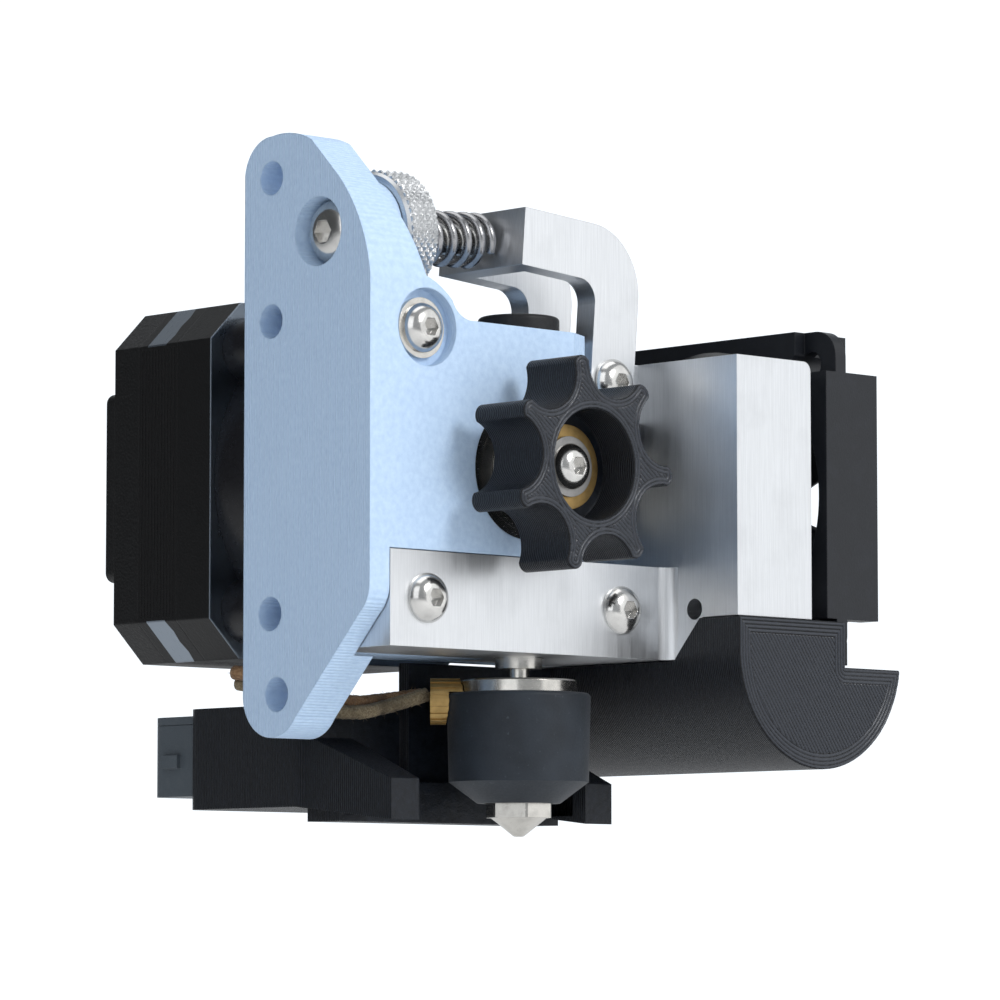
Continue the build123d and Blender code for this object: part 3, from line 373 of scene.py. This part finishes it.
# ---------------------------------------------------------------- tension axis
slope = 0.05
tension_dir = Vector((1, 0, slope)).normalized()
tension_side = Vector((0, 1, 0))
tension_up = tension_dir.cross(tension_side)
tension_foot = Vector((0, FRONT_Y + 8.95, 26.6))


def on_tension(distance, radius, angle):
    spoke = tension_side * math.cos(angle) + tension_up * math.sin(angle)
    return tension_foot + tension_dir * distance + spoke * radius


NUT_START, NUT_END, NUT_R, NUT_BORE = 7.6, 12.4, 7.5, 2.02
KNURLS = 44
KNURL_PITCH = 2 * math.pi * NUT_R / KNURLS


def peak(value):
    return 1 - abs((value % 1.0) - 0.5) * 2


# half profile from the bore to the rim: distance in from the face, and radius
nut_side = [(0, NUT_BORE), (0, 3.0), (0, 6.2), (0.02, 6.9), (0.35, 7.22)]
RIM_ROWS = 34
PER_KNURL = 9        # points around each knurl
rings = [(NUT_START + inset, radius) for inset, radius in nut_side]
for i in range(RIM_ROWS + 1):
    rings.append((NUT_START + 0.4 + (NUT_END - NUT_START - 0.8) * i / RIM_ROWS, None))
rings += [(NUT_END - inset, radius) for inset, radius in reversed(nut_side)]
around = KNURLS * PER_KNURL
nut_points = []
for distance, radius in rings:
    for k in range(around):
        angle = 2 * math.pi * k / around
        r = radius
        if r is None:
            u = k / PER_KNURL
            v = distance / KNURL_PITCH
            r = NUT_R - 0.3 + 0.3 * min(1.0, 1.25 * min(peak(u + v), peak(u - v)))
        nut_points.append(on_tension(distance, r, angle))
nut_faces = grid_faces(len(rings), around, wrap_rows=True, wrap_columns=True)
piece(
    "thumb_nut_knurled", nut_points, nut_faces, "knurled_aluminium", "tension_nut",
    replaces="thumb_nut", smooth=False,
)

SPRING_START, SPRING_END, SPRING_R, WIRE_R, COILS = 13.2, 25.35, 2.8, 0.55, 5.5
spring_path = []
steps = 420
for i in range(steps + 1):
    t = i / steps
    ease = 0.5 - 0.5 * math.cos(math.pi * t)
    shift = 0.35 * t + 0.65 * ease
    distance = SPRING_START + WIRE_R + (SPRING_END - SPRING_START - 2 * WIRE_R) * (0.55 * t + 0.45 * shift)
    spring_path.append(on_tension(distance, SPRING_R, 2 * math.pi * COILS * t + 0.6))
spring_points, spring_faces = tube(spring_path, WIRE_R, 14)
spring = piece(
    "tension_spring_wire", spring_points, spring_faces, "spring_steel", "head", replaces="tension_spring"
)
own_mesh(spring)


# ---------------------------------------------------------------- printed faces
TRACK = 0.46         # width of one printed track


def track_height(inside, along, walls):
    """Height of printed tracks: outlines near the edge, straight lines further in."""
    edge = np.abs(np.sin(np.pi * inside / TRACK))
    fill = np.abs(np.sin(np.pi * along / TRACK))
    return np.where(inside < walls * TRACK, edge, fill) ** 0.6


def printed_face(name, x_span, z_span, front_y, inside_of, walls, body, angle, rough, step=0.092):
    """Thin skin of printed tracks over a flat front face, cut to the face's outline."""
    xs = np.arange(x_span[0], x_span[1], step)
    zs = np.arange(z_span[0], z_span[1], step)
    x, z = np.meshgrid(xs, zs, indexing="ij")
    inside = inside_of(x, z)
    along = x * math.cos(angle) + z * math.sin(angle)
    rng = np.random.default_rng(7)
    blobs = rng.random((x.shape[0] // 5 + 2, x.shape[1] // 5 + 2))
    ix, iz = np.arange(x.shape[0]) / 5, np.arange(x.shape[1]) / 5
    bx, bz = ix.astype(int), iz.astype(int)
    fx, fz = (ix - bx)[:, None], (iz - bz)[None, :]
    low = blobs[bx][:, bz] * (1 - fz) + blobs[bx][:, bz + 1] * fz
    high = blobs[bx + 1][:, bz] * (1 - fz) + blobs[bx + 1][:, bz + 1] * fz
    lumps = low * (1 - fx) + high * fx
    height = TRACK_RELIEF * track_height(inside, along, walls) + rough * lumps
    height = np.where(inside < 0.12, -0.06, height)
    keep = inside > -0.02
    index = -np.ones(x.shape, int)
    index[keep] = np.arange(keep.sum())
    points = np.stack([x[keep], front_y - 0.01 - height[keep], z[keep]], axis=1)
    whole = keep[:-1, :-1] & keep[1:, :-1] & keep[:-1, 1:] & keep[1:, 1:]
    a, b = index[:-1, :-1][whole], index[1:, :-1][whole]
    c, d = index[1:, 1:][whole], index[:-1, 1:][whole]
    faces = np.stack([a, b, c, d], axis=1).tolist()
    made = piece(name, points.tolist(), faces, "print_black", body)
    made.data.materials[0] = tracked(name + "_look", front_y)
    return made


KNOB_FRONT = FRONT_Y - 11.3
KNOB_TURN = math.radians(-3)
KNOB_R, KNOB_BORE_R, KNOB_LOBES = 11.5, 6.4, 7
HOLLOW_AT, HOLLOW_R = 12.5, 4.3


def knob_inside(x, z):
    """Distance inside the knob's outline: a disc with seven rounded lobes and a bore."""
    dx, dz = x - AXIS_X, z
    radius = np.hypot(dx, dz)
    inside = KNOB_R - radius
    for k in range(KNOB_LOBES):
        spoke = 2 * math.pi * k / KNOB_LOBES + KNOB_TURN
        along = dx * math.cos(spoke) + dz * math.sin(spoke)
        across = -dx * math.sin(spoke) + dz * math.cos(spoke)
        reach = np.clip(along, 8.7, 11.3)
        inside = np.maximum(inside, 1.3 - np.hypot(along - reach, across))
    for k in range(KNOB_LOBES):
        gap = 2 * math.pi * (k + 0.5) / KNOB_LOBES + KNOB_TURN
        hollow = np.hypot(dx - HOLLOW_AT * math.cos(gap), dz - HOLLOW_AT * math.sin(gap)) - HOLLOW_R
        inside = np.minimum(inside, hollow)
    return np.minimum(inside, radius - KNOB_BORE_R)


printed_face(
    "knob_front_tracks", (11.5, 37.2), (-13.0, 13.0), KNOB_FRONT, knob_inside,
    walls=2.2, body="drive", angle=0.9, rough=0.07,
)

DUCT_FRONT = FRONT_Y - 12.2
DUCT_X, DUCT_Z, DUCT_R = AXIS_X + 36.8, -20.0, 14.0
DUCT_TOP, STEP_TOP, STEP_X = -16.35, -21.8, AXIS_X + 41.0
FAR = 99.0


def duct_inside(x, z):
    """Distance inside the closed end of the air duct."""
    below = DUCT_R - np.hypot(x - DUCT_X, z - DUCT_Z)
    body = np.maximum(below, np.where(z > DUCT_Z, DUCT_R - np.abs(x - DUCT_X), below))
    left = x < STEP_X
    raised = z > STEP_TOP
    top = np.where(left, DUCT_TOP - z, STEP_TOP - z)
    step_side = np.where(left & raised, STEP_X - x, FAR)
    step_corner = np.where(left & ~raised, np.hypot(STEP_X - x, z - STEP_TOP), FAR)
    return np.minimum.reduce([body, top, step_side, step_corner])


printed_face(
    "air_duct_end_tracks", (46.8, 75.4), (-34.2, -16.2), DUCT_FRONT, duct_inside,
    walls=4.1, body="head", angle=0.62, rough=0.03,
)


# ---------------------------------------------------------------- heater leads
def smooth_route(points, samples):
    curve = bpy.data.curves.new("route", "CURVE")
    curve.dimensions = "3D"
    curve.resolution_u = samples
    spline = curve.splines.new("NURBS")
    spline.points.add(len(points) - 1)
    for spot, p in zip(spline.points, points):
        spot.co = (*p, 1.0)
    spline.order_u = 3
    spline.use_endpoint_u = True
    holder = bpy.data.objects.new("route", curve)
    mesh = bpy.data.meshes.new_from_object(holder)
    line = [v.co.copy() for v in mesh.vertices]
    bpy.data.objects.remove(holder)
    bpy.data.meshes.remove(mesh)
    return line


lead_route = [
    (AXIS_X - 0.7, FRONT_Y + 16.7, -25.4),
    (AXIS_X - 5.0, FRONT_Y + 18.0, -26.5),
    (AXIS_X - 12.4, FRONT_Y + 17.9, -27.5),
    (AXIS_X - 15.8, FRONT_Y + 22.8, -24.8),
    (AXIS_X - 16.5, FRONT_Y + 32.0, -23.4),
]
lead_line = smooth_route(lead_route, 24)
random.seed(4)
LEAD_R, LEAD_APART, FIBRES = 0.84, 0.78, 150
for number, (tint, phase) in enumerate((("sleeve", 0.0), ("sleeve_grey", math.pi)), start=1):
    path = []
    for i, here in enumerate(lead_line):
        run = (lead_line[min(i + 1, len(lead_line) - 1)] - lead_line[max(i - 1, 0)]).normalized()
        side = run.cross(Vector((0, 0, 1))).normalized()
        lift = side.cross(run)
        twist = phase + 2.2 * i / len(lead_line)
        path.append(here + (side * math.cos(twist) + lift * math.sin(twist)) * LEAD_APART)
    bulges = [random.uniform(-0.07, 0.07) for _ in path]
    points, faces = tube(path, lambda i: LEAD_R + bulges[i] * math.sin(i * 0.9), 14)
    for _ in range(FIBRES):
        spot = random.randrange(len(path))
        out = Vector([random.uniform(-1, 1) for _ in range(3)]).normalized()
        root = path[spot] + out * 0.6
        length = random.uniform(0.25, 0.85)
        bend = Vector([random.uniform(-0.4, 0.4) for _ in range(3)])
        hair = [root, root + out * length * 0.5 + bend * 0.2, root + out * length + bend * 0.6]
        more, more_faces = tube(hair, lambda i: 0.045 - 0.015 * i, 3)
        base = len(points)
        points += more
        faces += [tuple(base + k for k in face) for face in more_faces]
    piece(f"heater_lead_{number}", points, faces, tint, "head", replaces="heater_leads")


# ---------------------------------------------------------------- floor, backdrop, lights
def stage_plane(name, centre, size_x, size_y, rotation, colour, roughness):
    g = Graph(name)
    tone = g.blend(g.noise((0.02, 0.02, 0.02)), shade(colour, 0.985), colour)
    g.set(Base_Color=tone, Roughness=roughness)
    mesh = bpy.data.meshes.new(name)
    x, y = size_x / 2, size_y / 2
    mesh.from_pydata([(-x, -y, 0), (x, -y, 0), (x, y, 0), (-x, y, 0)], [], [(0, 1, 2, 3)])
    mesh.materials.append(g.material)
    made = bpy.data.objects.new(name, mesh)
    made.location = centre
    made.rotation_euler = rotation
    scene.collection.objects.link(made)
    return made


stage_plane("floor", (0.03, 0, -0.14), 8, 8, (0, 0, 0), (0.93, 0.93, 0.93), 0.9)

world = bpy.data.worlds.new("studio")
world.use_nodes = True
scene.world = world
tree = world.node_tree
sky = tree.nodes["Background"]
direction = tree.nodes.new("ShaderNodeTexCoord").outputs["Generated"]


def lobe(centre, start, full):
    """0 to 1 as a direction of the sky comes near a centre direction."""
    dot = tree.nodes.new("ShaderNodeVectorMath")
    dot.operation = "DOT_PRODUCT"
    tree.links.new(direction, dot.inputs[0])
    dot.inputs[1].default_value = Vector(centre).normalized()
    span = tree.nodes.new("ShaderNodeMapRange")
    span.interpolation_type = "SMOOTHSTEP"
    tree.links.new(dot.outputs["Value"], span.inputs["Value"])
    span.inputs["From Min"].default_value = start
    span.inputs["From Max"].default_value = full
    return span.outputs["Result"]


def sky_mix(factor, first, second):
    mix = tree.nodes.new("ShaderNodeMix")
    tree.links.new(factor, mix.inputs["Factor"])
    for socket, value in ((mix.inputs["A"], first), (mix.inputs["B"], second)):
        if isinstance(value, bpy.types.NodeSocket):
            tree.links.new(value, socket)
        else:
            socket.default_value = value
    return mix.outputs["Result"]


shadow_side = sky_mix(lobe((-0.69, 0.72, 0.1), 0.3, 0.85), 0.42, 0.10)
bright = sky_mix(lobe(forward, 0.80, 0.92), shadow_side, 1.2)
tree.links.new(bright, sky.inputs["Strength"])
sky.inputs["Color"].default_value = (0.91, 0.955, 1.0, 1.0)


def softbox(name, place, target, size, power, colour=(1, 1, 1)):
    data = bpy.data.lights.new(name, "AREA")
    data.shape = "RECTANGLE"
    data.size, data.size_y = size
    data.energy = power
    data.color = colour
    lamp = bpy.data.objects.new(name, data)
    lamp.location = place
    lamp.rotation_euler = (Vector(target) - Vector(place)).to_track_quat("-Z", "Y").to_euler()
    scene.collection.objects.link(lamp)
    return lamp


middle = (0.03, 0.0, -0.003)
softbox("key_front_right", (0.62, -0.74, 0.22), middle, (1.35, 1.5), 4.9)
softbox("fill_left", (-0.8, -0.45, 0.35), middle, (0.6, 0.9), 1.9, (0.95, 0.97, 1.0))
softbox("front_high", (0.12, -0.85, 0.5), middle, (0.3, 0.3), 4.0)
softbox("top", (0.0, 0.1, 0.9), middle, (0.9, 0.9), 3.5)
